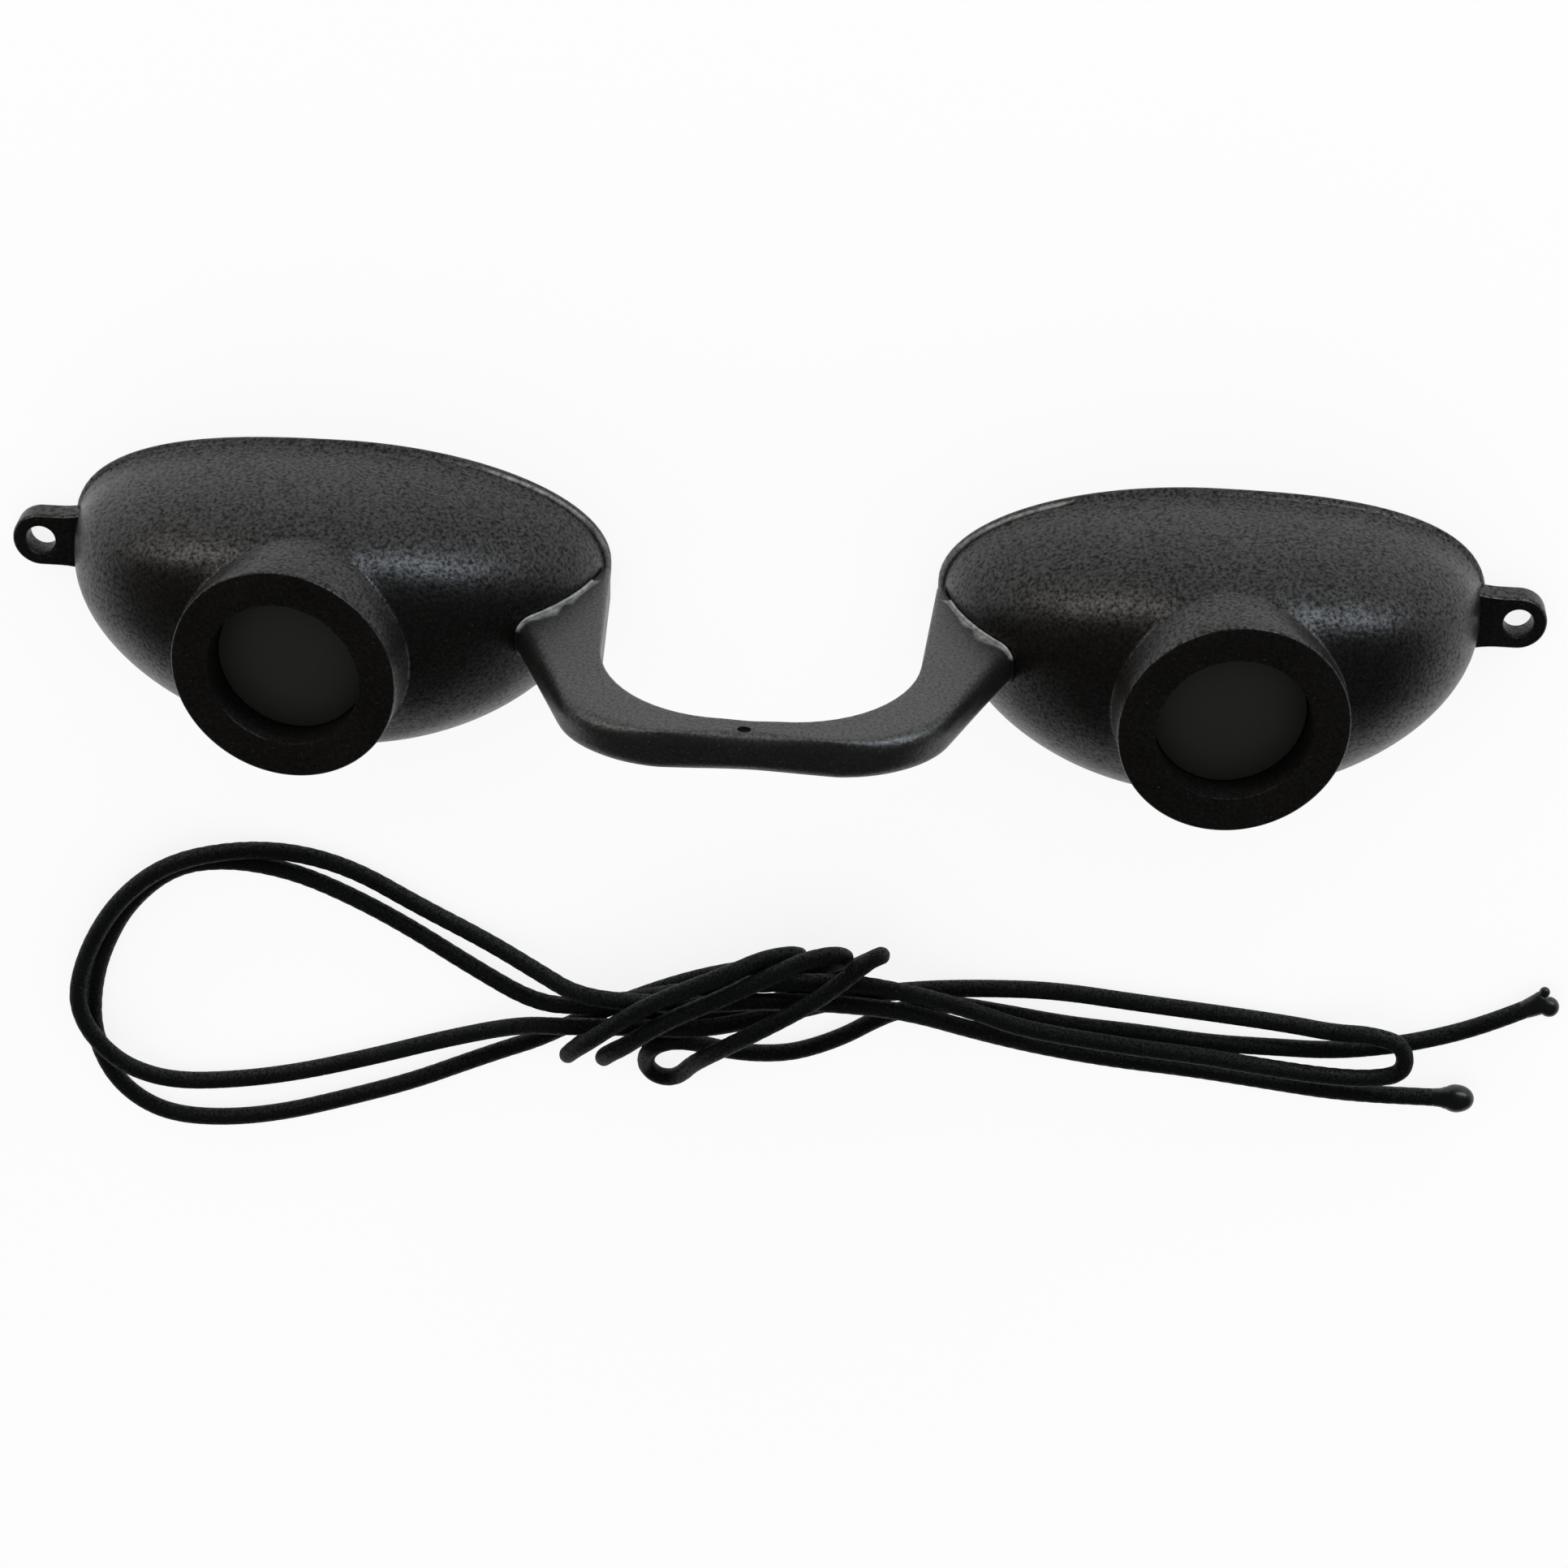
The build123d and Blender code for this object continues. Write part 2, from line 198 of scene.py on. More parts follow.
# Camera at the photograph's viewing angle
VIEW_YAW = math.radians(2.7873)
VIEW_TILT = math.radians(31.0)
VIEW_ROLL = math.radians(1.7098)
VIEW_DISTANCE = 0.3
VIEW_AIM = Vector((1.6396, -11.2255, 8.1540)) * MM
VIEW_LENS = 92.086
VIEW_SENSOR = 36.0
VIEW_NEAR = 0.01


# Rings of a skin
def new_ring(mesh, points):
    """The first ring of a skin, through the points."""
    ring = bmesh.ops.create_circle(mesh, segments=len(points), radius=1)["verts"]
    for vert, point in zip(ring, points):
        vert.co = point
    return ring


def ring_edges(mesh, ring):
    """The edges round a ring."""
    return [mesh.edges.get((a, b)) for a, b in zip(ring, ring[1:] + ring[:1])]


def next_ring(mesh, ring, points):
    """Extrudes a ring and lays the new one through the points."""
    grown = bmesh.ops.extrude_edge_only(mesh, edges=ring_edges(mesh, ring))["geom"]
    fresh = {item for item in grown if isinstance(item, bmesh.types.BMVert)}
    following = []
    for vert, point in zip(ring, points):
        other = next(e.other_vert(vert) for e in vert.link_edges if e.other_vert(vert) in fresh)
        other.co = point
        following.append(other)
    return following


def skin(mesh, rings):
    """A skin through rings of points. Gives back its first and last ring."""
    first = ring = new_ring(mesh, rings[0])
    for points in rings[1:]:
        ring = next_ring(mesh, ring, points)
    return first, ring


def hollow_skin(rings):
    """A closed skin whose last ring meets its first, as round a hollow."""
    mesh = bmesh.new()
    first, last = skin(mesh, rings)
    bmesh.ops.bridge_loops(mesh, edges=ring_edges(mesh, first) + ring_edges(mesh, last))
    return mesh


def capped_skin(rings):
    """A closed skin with a flat face across each end."""
    mesh = bmesh.new()
    for ring in skin(mesh, rings):
        bmesh.ops.contextual_create(mesh, geom=ring)
    return mesh


def mirrored(mesh):
    """Turns the right side's mesh into the left side's."""
    bmesh.ops.scale(mesh, vec=(-1, 1, 1), verts=mesh.verts)
    return mesh


def finished(name, mesh, material, smooth_below=SMOOTH_BELOW):
    """Turns a millimetre mesh into an object in metres, with its faces outwards."""
    bmesh.ops.remove_doubles(mesh, verts=mesh.verts, dist=WELD)
    bmesh.ops.recalc_face_normals(mesh, faces=mesh.faces)
    bmesh.ops.scale(mesh, vec=(MM, MM, MM), verts=mesh.verts)
    data = bpy.data.meshes.new(name)
    mesh.to_mesh(data)
    mesh.free()
    data.materials.append(material)
    piece = bpy.data.objects.new(name, data)
    bpy.context.scene.collection.objects.link(piece)
    resharpen(piece, smooth_below)
    return piece


def resharpen(piece, smooth_below=SMOOTH_BELOW):
    """Smooth faces, with sharp edges only where the shape turns by more degrees than that."""
    piece.data.shade_smooth()
    piece.data.set_sharp_from_angle(angle=math.radians(smooth_below))


def combined(piece, other, operation):
    """Joins a second closed piece to the first or cuts it out, and removes the second."""
    cut = piece.modifiers.new("cut", "BOOLEAN")
    cut.solver = "EXACT"
    cut.operation = operation
    cut.object = other
    shape = piece.evaluated_get(bpy.context.evaluated_depsgraph_get())
    data = bpy.data.meshes.new_from_object(shape)
    piece.modifiers.clear()
    piece.data = data
    bpy.data.objects.remove(other)
    return piece


def line_gap(place, line):
    """How far a place is from a line of points."""
    starts, runs = line[:-1], np.diff(line, axis=0)
    lengths = np.maximum((runs ** 2).sum(1), TINY)
    shares = np.clip(((place - starts) * runs).sum(1) / lengths, 0, 1)
    return np.linalg.norm(starts + runs * shares[:, None] - place, axis=1).min()


def mark_painted_highlight(piece, lines, reach):
    """Gives a piece an attribute that is 1 on the points within reach of a line, where a pale
    highlight is painted.
    """
    lines = [np.array([tuple(place) for place in line]) for line in lines]
    painted_highlight = piece.data.attributes.new("painted_highlight", "FLOAT", "POINT")
    for vert, value in zip(piece.data.vertices, painted_highlight.data):
        place = np.array(vert.co) / MM
        value.value = float(min(line_gap(place, line) for line in lines) < reach)


# Material nodes
def add_node(tree, kind, values=None, **settings):
    """A node with its settings, and plain values on its inputs."""
    node = tree.nodes.new(kind)
    for name, setting in settings.items():
        setattr(node, name, setting)
    for name, value in (values or {}).items():
        node.inputs[name].default_value = value
    return node


def join(tree, source, output, target, entry):
    """Links one node's output to another's input."""
    tree.links.new(source.outputs[output], target.inputs[entry])


def new_group(name, entries, results):
    """An empty node group with named inputs and outputs."""
    group = bpy.data.node_groups.new(name, "ShaderNodeTree")
    for entry, (kind, value) in entries.items():
        item = group.interface.new_socket(name=entry, in_out="INPUT", socket_type=kind)
        if value is not None:
            item.default_value = value
    for result in results:
        group.interface.new_socket(name=result, in_out="OUTPUT", socket_type="NodeSocketFloat")
    return group, group.nodes.new("NodeGroupInput"), group.nodes.new("NodeGroupOutput")


def moulded_grain():
    """Fine texture of moulded plastic: a height for the bump, and masks for mottle and specks."""
    group, given, result = new_group(
        "moulded grain",
        {"Vector": ("NodeSocketVector", None), "Grain Scale": ("NodeSocketFloat", 4000.0)},
        ("Height", "Mottle", "Specks"),
    )
    fine = add_node(group, "ShaderNodeTexNoise", {"Detail": 3.0, "Roughness": 0.6})
    join(group, given, "Vector", fine, "Vector")
    join(group, given, "Grain Scale", fine, "Scale")
    join(group, fine, "Fac", result, "Height")
    cloud = add_node(group, "ShaderNodeTexNoise", {"Scale": 160.0, "Detail": 4.0})
    join(group, given, "Vector", cloud, "Vector")
    join(group, cloud, "Fac", result, "Mottle")
    dust = add_node(group, "ShaderNodeTexNoise", {"Scale": 5200.0, "Detail": 1.0})
    join(group, given, "Vector", dust, "Vector")
    few = add_node(group, "ShaderNodeMapRange", {"From Min": 0.70, "From Max": 0.82})
    join(group, dust, "Fac", few, "Value")
    join(group, few, "Result", result, "Specks")
    return group


def painted_edge_highlight():
    """Painted edge highlight: a mask from the piece's own marked points, broken up by a fine noise.
    """
    group, given, result = new_group(
        "painted edge highlight",
        {
            "Highlight Marks": ("NodeSocketFloat", 0.0),
            "Vector": ("NodeSocketVector", None),
            "Scale": ("NodeSocketFloat", 1800.0),
        },
        ("Mask",),
    )
    patches = add_node(group, "ShaderNodeTexNoise", {"Detail": 2.0})
    join(group, given, "Vector", patches, "Vector")
    join(group, given, "Scale", patches, "Scale")
    spread = add_node(group, "ShaderNodeMapRange", {
        "From Min": 0.3, "From Max": 0.7, "To Min": 0.35,
    })
    join(group, patches, "Fac", spread, "Value")
    both = add_node(group, "ShaderNodeMath", operation="MULTIPLY")
    group.links.new(given.outputs["Highlight Marks"], both.inputs[0])
    group.links.new(spread.outputs["Result"], both.inputs[1])
    join(group, both, "Value", result, "Mask")
    return group


GRAIN = moulded_grain()
PAINTED_HIGHLIGHT = painted_edge_highlight()


def new_material(name):
    """A material, its node tree and its shader."""
    material = bpy.data.materials.new(name)
    material.use_nodes = True
    return material, material.node_tree, material.node_tree.nodes["Principled BSDF"]


def plastic(
        name, dark, light, speck, rough, grain_scale, bump, specular=0.5, uneven=0.0, highlight_colour=None):
    """Moulded plastic: mottled colour, pale specks, uneven gloss and a fine grain, with a painted
    highlight colour on marked points when one is given.
    """
    material, tree, shader = new_material(name)
    place = add_node(tree, "ShaderNodeTexCoord")
    grain = add_node(tree, "ShaderNodeGroup", {"Grain Scale": grain_scale}, node_tree=GRAIN)
    join(tree, place, "Object", grain, "Vector")

    shade = add_node(tree, "ShaderNodeMix", {"A": (*dark, 1), "B": (*light, 1)}, data_type="RGBA")
    join(tree, grain, "Mottle", shade, "Factor")
    finish = add_node(tree, "ShaderNodeMix", {"B": (*speck, 1)}, data_type="RGBA")
    join(tree, shade, "Result", finish, "A")
    join(tree, grain, "Specks", finish, "Factor")
    # Painted highlight: the given pale colour on the points marked for it, broken up by noise
    if highlight_colour is not None:
        highlight_marks = add_node(tree, "ShaderNodeAttribute", attribute_name="painted_highlight")
        mask = add_node(tree, "ShaderNodeGroup", node_tree=PAINTED_HIGHLIGHT)
        join(tree, highlight_marks, "Fac", mask, "Highlight Marks")
        join(tree, place, "Object", mask, "Vector")
        highlighted = add_node(tree, "ShaderNodeMix", {"B": (*highlight_colour, 1)}, data_type="RGBA")
        join(tree, finish, "Result", highlighted, "A")
        join(tree, mask, "Mask", highlighted, "Factor")
        finish = highlighted
    join(tree, finish, "Result", shader, "Base Color")

    low, high = (rough + stray for stray in GLOSS_SPREAD)
    gloss = add_node(tree, "ShaderNodeMapRange", {"To Min": low, "To Max": high})
    join(tree, grain, "Mottle", gloss, "Value")
    join(tree, gloss, "Result", shader, "Roughness")
    if uneven:
        glint = add_node(tree, "ShaderNodeMapRange", {
            "From Min": GLINT_BETWEEN[0], "From Max": GLINT_BETWEEN[1],
            "To Min": specular * (1 - uneven), "To Max": specular * (1 + uneven),
        })
        join(tree, grain, "Height", glint, "Value")
        join(tree, glint, "Result", shader, "Specular IOR Level")
    else:
        shader.inputs["Specular IOR Level"].default_value = specular
    relief = add_node(tree, "ShaderNodeBump", {"Strength": bump, "Distance": BUMP_HEIGHT})
    join(tree, grain, "Height", relief, "Height")
    join(tree, relief, "Normal", shader, "Normal")
    return material


# Shell: its last colour is a painted highlight on the lip near the nose
SHELL = plastic(
    "shell plastic", dark=(0.0022, 0.0018, 0.0015), light=(0.0052, 0.0042, 0.0036),
    speck=(0.03, 0.027, 0.025), rough=0.34, grain_scale=3600.0, bump=0.6,
    specular=0.32, uneven=0.8, highlight_colour=(0.16, 0.155, 0.15),
)
# Bridge: its last colour is a painted highlight along the seam bead's brow side
BRIDGE_FINISH = plastic(
    "bridge plastic", dark=(0.0040, 0.0040, 0.0038), light=(0.0085, 0.0083, 0.0079),
    speck=(0.05, 0.05, 0.05), rough=0.38, grain_scale=4200.0, bump=0.6,
    specular=0.62, uneven=0.5, highlight_colour=(0.26, 0.26, 0.255),
)
LENS_FINISH = plastic(
    "lens filter plastic", dark=(0.0170, 0.0170, 0.0150), light=(0.0200, 0.0200, 0.0180),
    speck=(0.022, 0.022, 0.020), rough=0.24, grain_scale=3000.0, bump=0.03,
)
CORD_FINISH = plastic(
    "braided cord", dark=(0.0010, 0.0013, 0.0014), light=(0.0040, 0.0054, 0.0054),
    speck=(0.016, 0.021, 0.020), rough=0.60, grain_scale=5200.0, bump=0.7,
    specular=0.2, uneven=0.9,
)
MELTED = plastic(
    "melted cord end", dark=(0.0020, 0.0030, 0.0028), light=(0.0050, 0.0068, 0.0060),
    speck=(0.009, 0.011, 0.010), rough=0.30, grain_scale=2500.0, bump=0.15,
    specular=0.4, uneven=0.2,
)


# Dome of the cup
def half_size(side, grow, share):
    """How far the right cup reaches to one side, at a share of its depth."""
    power = FALL[side]
    return (REACH[side] + grow) * (1 - share ** power) ** (1 / power)


def dome_point(turn, share, grow=0.0):
    """A point of the right cup's dome: turn is 0 at the temple, 1 at the brow, 2 nose, 3 cheek."""
    quarter = int(turn) % 4
    angle = (turn - int(turn)) * math.pi / 2
    ahead, beside = SIDES[quarter], SIDES[(quarter + 1) % 4]
    power = 2 / ROUNDNESS[quarter]
    a = half_size(ahead, grow, share) * max(0.0, math.cos(angle)) ** power
    b = half_size(beside, grow, share) * max(0.0, math.sin(angle)) ** power
    flat = ((a, b), (-b, a), (-a, -b), (b, -a))[quarter]
    return Vector((CUP_X + flat[0], CUP_Y + flat[1], (CUP_DEPTH + grow) * share))


def dome_turn(point, grow=0.0):
    """The turn and share of a point, and how far out it is: above zero is outside."""
    share = min(0.999, max(0.0, point.z / (CUP_DEPTH + grow)))
    x, y = point.x - CUP_X, point.y - CUP_Y
    quarter = (0 if x > 0 else 1) if y > 0 else (2 if x <= 0 else 3)
    ahead, beside = SIDES[quarter], SIDES[(quarter + 1) % 4]
    along, across = (abs(x), abs(y)) if quarter in (0, 2) else (abs(y), abs(x))
    power = ROUNDNESS[quarter]
    a = (along / half_size(ahead, grow, share)) ** power
    b = (across / half_size(beside, grow, share)) ** power
    angle = math.atan2(math.sqrt(b), math.sqrt(a))
    return quarter + angle / (math.pi / 2), share, a + b - 1


def even_turns(count):
    """Turns that space the rim's points evenly within each quarter."""
    turns = []
    fine = np.linspace(0, 1, OUTLINE_STEPS + 1)
    for quarter in range(4):
        line = [
            dome_point(quarter + step / OUTLINE_STEPS * SHORT_OF_NEXT, 0)
            for step in range(OUTLINE_STEPS + 1)
        ]
        walked = np.cumsum([0] + [(b - a).length for a, b in zip(line, line[1:])])
        steps = np.linspace(0, walked[-1], count // 4 + 1)[:-1]
        turns += list(quarter + np.interp(steps, walked, fine))
    return turns


def halved(low, high, steps, holds):
    """Closes in on where a test stops holding, from both sides."""
    for _ in range(steps):
        middle = (low + high) / 2
        low, high = (middle, high) if holds(middle) else (low, middle)
    return low, high


# Barrel of the cup
BARREL_AXIS = Vector((math.sin(BARREL_TOE), 0, math.cos(BARREL_TOE)))
BARREL_SIDE = Vector((math.cos(BARREL_TOE), 0, -math.sin(BARREL_TOE)))
BARREL_UP = Vector((0, 1, 0))


def barrel_point(index, radius, depth):
    """A point round the barrel's axis, a depth behind its front."""
    angle = 2 * math.pi * index / RING
    way = BARREL_SIDE * math.cos(angle) + BARREL_UP * math.sin(angle)
    return BARREL_FRONT - BARREL_AXIS * depth + way * radius


def barrel_ring(radius, depth):
    """A ring round the barrel's axis."""
    return [barrel_point(i, radius, depth) for i in range(RING)]


def barrel_root(index):
    """Where the barrel's side meets the dome, and how far that is behind its front."""
    def outside(depth):
        return dome_turn(barrel_point(index, BARREL_RADIUS, depth))[2] > 0

    depth = halved(0.0, BARREL_REACH, 50, outside)[1]
    return barrel_point(index, BARREL_RADIUS, depth), depth


def root_line(roots):
    """The turns and shares of the barrel's root, with the turns running on past the temple."""
    places = [dome_turn(point) for point, _ in roots]
    turns = [turn for turn, _, _ in places]
    for i in range(1, RING):
        while turns[i] < turns[i - 1] - 2:
            turns[i] += 4
    if turns[0] > 2:
        turns = [turn - 4 for turn in turns]
    return turns, [share for _, share, _ in places]


def lip_ring(rim, height, inset, nose_inset):
    """A ring of the rim's lip, which has a step to the dome near the nose only."""
    ring = []
    for turn in rim:
        near_nose = math.exp(-((turn - NOSE_TURN) / NOSE_SPREAD) ** 2)
        grow, nose_grow = LIP_WIDTH - inset, LIP_WIDTH - nose_inset
        reach = grow + (nose_grow - grow) * near_nose
        flat = dome_point(turn, height / CUP_DEPTH, reach)
        ring.append(Vector((flat.x, flat.y, height)))
    return ring


def cup_rings():
    """Rings of the right cup, from under the lip over the dome and down through the sight bore."""
    rim = even_turns(RING)
    roots = [barrel_root(i) for i in range(RING)]
    root_turns, root_shares = root_line(roots)
    foot_share = DOME_FOOT / CUP_DEPTH

    def up_dome(i, along):
        turn = rim[i] + (root_turns[i] - rim[i]) * along
        return dome_point(turn % 4, foot_share + (root_shares[i] - foot_share) * along)

    def before_fillet(i):
        def clear(along):
            return (up_dome(i, along) - roots[i][0]).length > ROOT_FILLET

        return halved(0.5, 1.0, 30, clear)[0]

    rings = [lip_ring(rim, *row) for row in LIP_PROFILE]
    stops = [before_fillet(i) for i in range(RING)]
    for step in range(DOME_RINGS + 1):
        rings.append([up_dome(i, stops[i] * step / DOME_RINGS) for i in range(RING)])
    for share in (0.33, 0.67, 1.0):
        ring = []
        for i, (corner, depth) in enumerate(roots):
            start = up_dome(i, stops[i])
            end = barrel_point(i, BARREL_RADIUS, depth - ROOT_FILLET)
            middle = corner * 2 * share * (1 - share)
            ring.append(start * (1 - share) ** 2 + middle + end * share ** 2)
        rings.append(ring)
    front = BARREL_EDGE[0][1]
    for share in (0.33, 0.66):
        rings.append([
            barrel_point(i, BARREL_RADIUS, (depth - ROOT_FILLET) * (1 - share) + front * share)
            for i, (_, depth) in enumerate(roots)
        ])
    rings += [barrel_ring(BARREL_RADIUS - inset, depth) for inset, depth in BARREL_EDGE]
    rings += [barrel_ring(SEAT_RADIUS + out, depth) for out, depth in SEAT_EDGE]
    ledge = RECESS + LENS_THICKNESS
    rings += [barrel_ring(SEAT_RADIUS, RECESS), barrel_ring(SEAT_RADIUS, ledge)]
    rings.append(barrel_ring(SIGHT_RADIUS, ledge))
    roof = (CUP_DEPTH - WALL) * ROOF_SHARE
    tops = barrel_ring(SIGHT_RADIUS, 0)
    rings.append([
        barrel_point(i, SIGHT_RADIUS, (top.z - roof) / BARREL_AXIS.z) for i, top in enumerate(tops)
    ])
    for step in range(ROOF_RINGS + 1):
        along = 1 - step / ROOF_RINGS
        rings.append([
            dome_point((turn + (root_turn - turn) * along) % 4, ROOF_SHARE * along, -WALL)
            for turn, root_turn in zip(rim, root_turns)
        ])
    return rings


# Tab of the cup
def tab_outline(inset, height):
    """The tab's outline: round at the hole, straight back to the cup, flared where they join."""
    reach = TAB_HOLE_X - (CUP_X + REACH["temple"] - TAB_SINK)
    half = TAB_HALF - inset
    points = []
    for i in range(TAB_SIDES):
        angle = 2 * math.pi * i / TAB_SIDES
        x, y = math.cos(angle), math.sin(angle)
        if x >= 0:
            points.append(Vector((TAB_HOLE_X + x * half, CUP_Y + y * half, height)))
            continue
        back = min(1.0, abs(x) / max(abs(y), TINY))
        flared = half + TAB_FLARE * max(0.0, back - TAB_FLARE_START) ** 2
        spread = 1.0 if abs(y) >= abs(x) else abs(y) / abs(x)
        side = math.copysign(flared * spread, y)
        points.append(Vector((TAB_HOLE_X - reach * back, CUP_Y + side, height)))
    return points


def eyelet(radius, height):
    """A ring round the tab's hole."""
    turns = [2 * math.pi * i / TAB_SIDES for i in range(TAB_SIDES)]
    return [
        Vector((TAB_HOLE_X + math.cos(turn) * radius, CUP_Y + math.sin(turn) * radius, height))
        for turn in turns
    ]


def tab_rings():
    """Rings of the right tab, round its edge and back through its hole."""
    top = TAB_THICKNESS
    return [
        eyelet(TAB_HOLE + TAB_EDGE * 0.5, 0.0),
        tab_outline(TAB_EDGE * 0.5, 0.0),
        tab_outline(0.0, TAB_EDGE * 0.5),
        tab_outline(0.0, top - TAB_EDGE),
        tab_outline(TAB_EDGE * 0.12, top - TAB_EDGE * 0.5),
        tab_outline(TAB_EDGE * 0.45, top - TAB_EDGE * 0.12),
        tab_outline(TAB_EDGE, top),
        eyelet(TAB_HOLE + TAB_EDGE, top),
        eyelet(TAB_HOLE + 0.1, top - 0.06),
        eyelet(TAB_HOLE, top - 0.25),
        eyelet(TAB_HOLE, TAB_EDGE * 0.5),
    ]


def make_cup(name, side):
    """One eyecup with its barrel and tab in one moulding."""
    shell, tab = hollow_skin(cup_rings()), hollow_skin(tab_rings())
    if side < 0:
        shell, tab = mirrored(shell), mirrored(tab)
    cup = combined(finished(name, shell, SHELL), finished(name + "_tab", tab, SHELL), "UNION")
    resharpen(cup)
    # Painted highlight: a line along the lip near the nose, painted pale by the shell's material
    edge = []
    for step in range(LIP_HIGHLIGHT_STEPS + 1):
        turn = LIP_HIGHLIGHT_START + LIP_HIGHLIGHT_SPAN * step / LIP_HIGHLIGHT_STEPS
        flat = dome_point(turn, 0.0, LIP_WIDTH - LIP_HIGHLIGHT_INSET)
        edge.append(Vector((side * flat.x, flat.y, LIP_HIGHLIGHT_HEIGHT)))
    mark_painted_highlight(cup, [edge], LIP_HIGHLIGHT_REACH)
    return cup


# Bridge
def elbow(foot, corner, radius):
    """Half of a U line: up the arm, round the corner and along the crown to the middle."""
    up = (corner - foot).normalized()
    across = Vector((-1.0, 0.0))
    turn = up.angle(across)
    reach = radius * math.tan(turn / 2)
    start, end = corner - up * reach, corner + across * reach
    centre = start + Vector((-up.y, up.x)) * radius
    line = [foot.lerp(start, step / ARM_STEPS) for step in range(ARM_STEPS)]
    for step in range(ELBOW_STEPS):
        swing = Matrix.Rotation(turn * step / ELBOW_STEPS, 2)
        line.append(centre + swing @ (start - centre))
    middle = Vector((0.0, corner.y))
    line += [end.lerp(middle, step / ARM_STEPS) for step in range(ARM_STEPS + 1)]
    return line


def strap_section(inner, outer, grow):
    """A rounded rectangle from the inner line to the outer, standing on edge."""
    way = (outer - inner).normalized()
    width = (outer - inner).length
    rounds = (
        (0.0, 1, NOSE_ROUND), (width, 1, OUTER_ROUND),
        (width, -1, OUTER_ROUND), (0.0, -1, NOSE_ROUND),
    )
    corners = []
    for index, (along, side, radius) in enumerate(rounds):
        ring = []
        inward = 1 if along == 0 else -1
        for step in range(ROUND_STEPS + 1):
            angle = math.pi / 2 * step / ROUND_STEPS
            a, b = 1 - math.cos(angle), 1 - math.sin(angle)
            if index % 2:
                a, b = b, a
            flat = inner + way * (along + inward * (a * radius - grow))
            y = BRIDGE_Y + side * (BRIDGE_HALF + grow - b * radius)
            ring.append(Vector((flat.x, y, flat.y)))
        corners.append(ring)
    shares = [step / FACE_STEPS for step in range(1, FACE_STEPS)]
    brow_face = [corners[0][-1].lerp(corners[1][0], share) for share in shares]
    cheek_face = [corners[2][-1].lerp(corners[3][0], share) for share in shares]
    return corners[0] + brow_face + corners[1] + corners[2] + cheek_face + corners[3]


def strap_arm(grow):
    """Sections of the strap's right half, from its foot to the middle of the crown."""
    return [strap_section(a, b, grow) for a, b in zip(elbow(*NOSE_LINE), elbow(*OUTER_LINE))]


def strap(name):
    """The U strap, before its arms are fitted to the cups."""
    right = strap_arm(0.0)
    left = [[Vector((-p.x, p.y, p.z)) for p in ring] for ring in reversed(right[:-1])]
    return finished(name, capped_skin(right + left), BRIDGE_FINISH)


def dome_block(name, side):
    """A solid dome, a little larger than the cup's, that the strap's foot is trimmed to."""
    turns = even_turns(RING)
    rim = [dome_point(turn, 0, CUP_ROOM) for turn in turns]
    rings = [[Vector((p.x, p.y, -1.0)) for p in rim]]
    rings += [[dome_point(turn, share, CUP_ROOM) for turn in turns] for share in CUP_ROOM_SHARES]
    mesh = capped_skin(rings)
    return finished(name, mirrored(mesh) if side < 0 else mesh, BRIDGE_FINISH)


def seam_line(side):
    """Where the strap's foot leaves the cup, down its three outer sides."""
    crossings = []
    for column in zip(*strap_arm(SEAM_GROW)):
        place = None
        for low, high in zip(column, column[1:]):
            inside, outside = dome_turn(low, SEAM_LIFT)[2], dome_turn(high, SEAM_LIFT)[2]
            if inside <= 0 < outside:
                place = low.lerp(high, inside / (inside - outside))
                break
        crossings.append(place)
    first = next(
        i for i, place in enumerate(crossings) if place is not None and crossings[i - 1] is None)
    turned = crossings[first:] + crossings[:first]
    return [Vector((side * place.x, place.y, place.z)) for place in turned[:turned.index(None)]]


def seam_bead(name, side):
    """A thin rounded bead along the strap's foot."""
    line = seam_line(side)
    turns = [2 * math.pi * k / SEAM_SIDES for k in range(SEAM_SIDES)]
    rings = []
    for i, place in enumerate(line):
        way = (line[min(i + 1, len(line) - 1)] - line[max(i - 1, 0)]).normalized()
        out = (place - Vector((side * CUP_X, CUP_Y, 0))).normalized()
        out = (out - way * out.dot(way)).normalized()
        across = way.cross(out)
        rings.append([
            place + (out * math.cos(turn) + across * math.sin(turn)) * SEAM_RADIUS for turn in turns
        ])
    return finished(name, capped_skin(rings), BRIDGE_FINISH)


def gate_mark():
    """The small round dimple that moulding leaves on the bridge's brow face."""
    mark = bmesh.new()
    bmesh.ops.create_cone(
        mark, cap_ends=True, segments=24, radius1=GATE_MARK_RADIUS, radius2=GATE_MARK_RADIUS,
        depth=2 * GATE_MARK_DEPTH)
    bmesh.ops.rotate(mark, matrix=Matrix.Rotation(math.pi / 2, 3, "X"), verts=mark.verts)
    bmesh.ops.scale(mark, vec=(1, 1, GATE_MARK_SQUASH), verts=mark.verts)
    place = (GATE_MARK_X, BRIDGE_Y + BRIDGE_HALF, GATE_MARK_HEIGHT)
    bmesh.ops.translate(mark, vec=place, verts=mark.verts)
    return finished("gate_mark", mark, BRIDGE_FINISH)


def make_bridge():
    """The nose bridge: a strap trimmed to the cups, with a fine bead along its feet and a painted
    highlight on the bead's brow side.
    """
    bridge = strap("nose_bridge_strap")
    for side in (1, -1):
        combined(bridge, seam_bead("bridge_seam", side), "UNION")
    for side in (1, -1):
        combined(bridge, dome_block("cup_room", side), "DIFFERENCE")
    combined(bridge, gate_mark(), "DIFFERENCE")
    resharpen(bridge, 30)
    # Painted highlight along the seam bead on the brow side, where the light falls
    brow_seams = [
        [place for place in seam_line(side) if place.y > SEAM_HIGHLIGHT_FROM] for side in (1, -1)
    ]
    mark_painted_highlight(bridge, brow_seams, SEAM_HIGHLIGHT_REACH)
    return bridge


